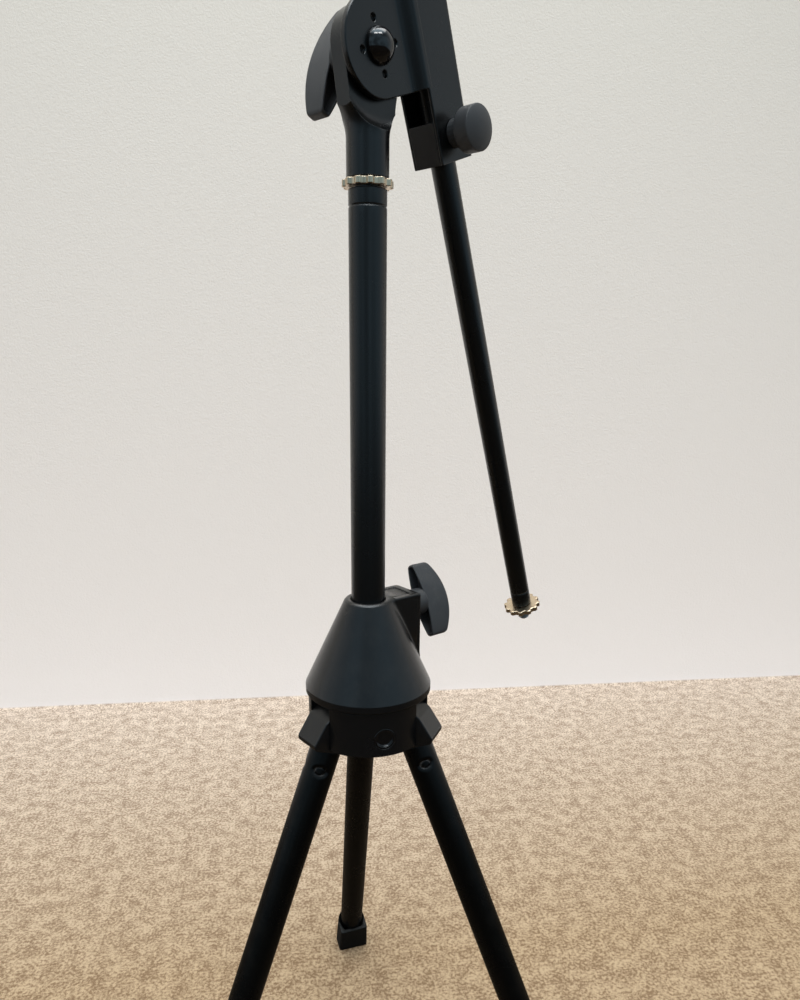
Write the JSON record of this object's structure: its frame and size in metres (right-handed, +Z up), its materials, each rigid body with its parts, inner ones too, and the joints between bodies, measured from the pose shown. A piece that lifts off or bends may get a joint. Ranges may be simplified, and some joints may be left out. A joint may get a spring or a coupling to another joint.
{
  "type": "microphone stand",
  "caption": "Folding tripod floor stand with a clamped sliding mast, a swivel head and a tilting, sliding boom arm that ends in a threaded stud for a microphone clip.",
  "frame": {"origin": "on the mast axis at floor level, midway between the feet", "axes": "+Z up along the mast, +Y towards leg 1 (the rear leg), so the other legs stand at 210 and 330 degrees from +X"},
  "size_m": [0.3442, 0.3021, 1.0032],
  "materials": {
    "powder_coat": "satin black powder coat",
    "moulded_housing": "satin moulded black",
    "knob_plastic": "fine-textured matte black",
    "dome_plastic": "gloss black",
    "bush_plastic": "smooth dark plastic",
    "rubber": "matte black rubber",
    "nickel": "warm, slightly aged nickel plate",
    "zinc_steel": "zinc-plated steel",
    "brass": "plain brass"
  },
  "bodies": {
    "hub": {"cone_housing": "moulded_housing", "leg_spider": "moulded_housing", "upper_mast_bush": "bush_plastic", "lower_mast_bush": "bush_plastic", "boss_cover": "knob_plastic", "clamp_nut": "zinc_steel", "clamp_shoe": "brass", "skirt_plug": "knob_plastic", "hub_screws": "zinc_steel", "leg_pin_1": "zinc_steel", "leg_pin_2": "zinc_steel", "leg_pin_3": "zinc_steel"},
    "leg_1": {"leg_head_1": "moulded_housing", "leg_tube_1": "powder_coat", "foot_1": "rubber"},
    "leg_2": {"leg_head_2": "moulded_housing", "leg_tube_2": "powder_coat", "foot_2": "rubber"},
    "leg_3": {"leg_head_3": "moulded_housing", "leg_tube_3": "powder_coat", "foot_3": "rubber"},
    "base_clamp": {"base_knob": "knob_plastic", "base_knob_stud": "zinc_steel"},
    "mast": {"mast_tube": "powder_coat", "mast_thread": "zinc_steel", "mast_end_plug": "bush_plastic"},
    "mast_lock": {"mast_lock_nut": "nickel"},
    "head": {"swivel_neck": "powder_coat", "handle_washer": "zinc_steel"},
    "tilt_clamp": {"tilt_handle": "knob_plastic", "tilt_handle_insert": "zinc_steel"},
    "carrier": {"boom_carrier": "powder_coat", "friction_washer": "bush_plastic", "pivot_bolt": "zinc_steel", "domed_cap": "dome_plastic", "clamp_block": "bush_plastic", "upper_guide_block": "bush_plastic", "boom_clamp_pad": "brass"},
    "boom_clamp": {"boom_knob": "knob_plastic", "boom_knob_screw": "zinc_steel"},
    "boom": {"boom_tube": "powder_coat", "boom_thread": "nickel", "boom_end_cap": "knob_plastic"},
    "boom_lock": {"boom_lock_nut": "nickel"}
  },
  "joints": [
    {"name": "leg_fold_1", "type": "hinge", "parent": "hub", "child": "leg_1", "pos_m": [0, 0.0287, 0.36604], "axis": [-1, 0, 0], "range_deg": [0, 22.5]},
    {"name": "leg_fold_2", "type": "hinge", "parent": "hub", "child": "leg_2", "pos_m": [-0.02485, -0.01435, 0.36604], "axis": [0.5, -0.866, 0], "range_deg": [0, 22.5]},
    {"name": "leg_fold_3", "type": "hinge", "parent": "hub", "child": "leg_3", "pos_m": [0.02485, -0.01435, 0.36604], "axis": [0.5, 0.866, 0], "range_deg": [0, 22.5]},
    {"name": "base_clamp_turn", "type": "hinge", "parent": "hub", "child": "base_clamp", "pos_m": [0.03897, 0.0225, 0.43804], "axis": [0.866, 0.5, 0], "continuous": true},
    {"name": "mast_slide", "type": "slide", "parent": "hub", "child": "mast", "axis": [0, 0, -1], "range_m": [0, 0.24]},
    {"name": "mast_lock_turn", "type": "hinge", "parent": "mast", "child": "mast_lock", "pos_m": [0, 0, 0.70344], "axis": [0, 0, 1], "continuous": true},
    {"name": "head_swivel", "type": "hinge", "parent": "mast", "child": "head", "pos_m": [0, 0, 0.70624], "axis": [0, 0, 1], "range_deg": [-180, 180]},
    {"name": "boom_tilt", "type": "hinge", "parent": "head", "child": "carrier", "pos_m": [0, 0, 0.77044], "axis": [0.6018, -0.7986, 0], "range_deg": [-13, 130]},
    {"name": "tilt_clamp_turn", "type": "hinge", "parent": "carrier", "child": "tilt_clamp", "pos_m": [-0.01204, 0.01597, 0.77044], "axis": [-0.6018, 0.7986, 0], "continuous": true},
    {"name": "boom_slide", "type": "slide", "parent": "carrier", "child": "boom", "axis": [0.2758, 0.2078, -0.9385], "range_m": [-0.33, 0.14]},
    {"name": "boom_clamp_turn", "type": "hinge", "parent": "carrier", "child": "boom_clamp", "pos_m": [0.05842, 0.01898, 0.738], "axis": [0.6018, -0.7986, 0], "continuous": true},
    {"name": "boom_lock_turn", "type": "hinge", "parent": "boom", "child": "boom_lock", "pos_m": [0.14622, 0.10718, 0.40314], "axis": [0.2758, 0.2078, -0.9385], "continuous": true}
  ]
}
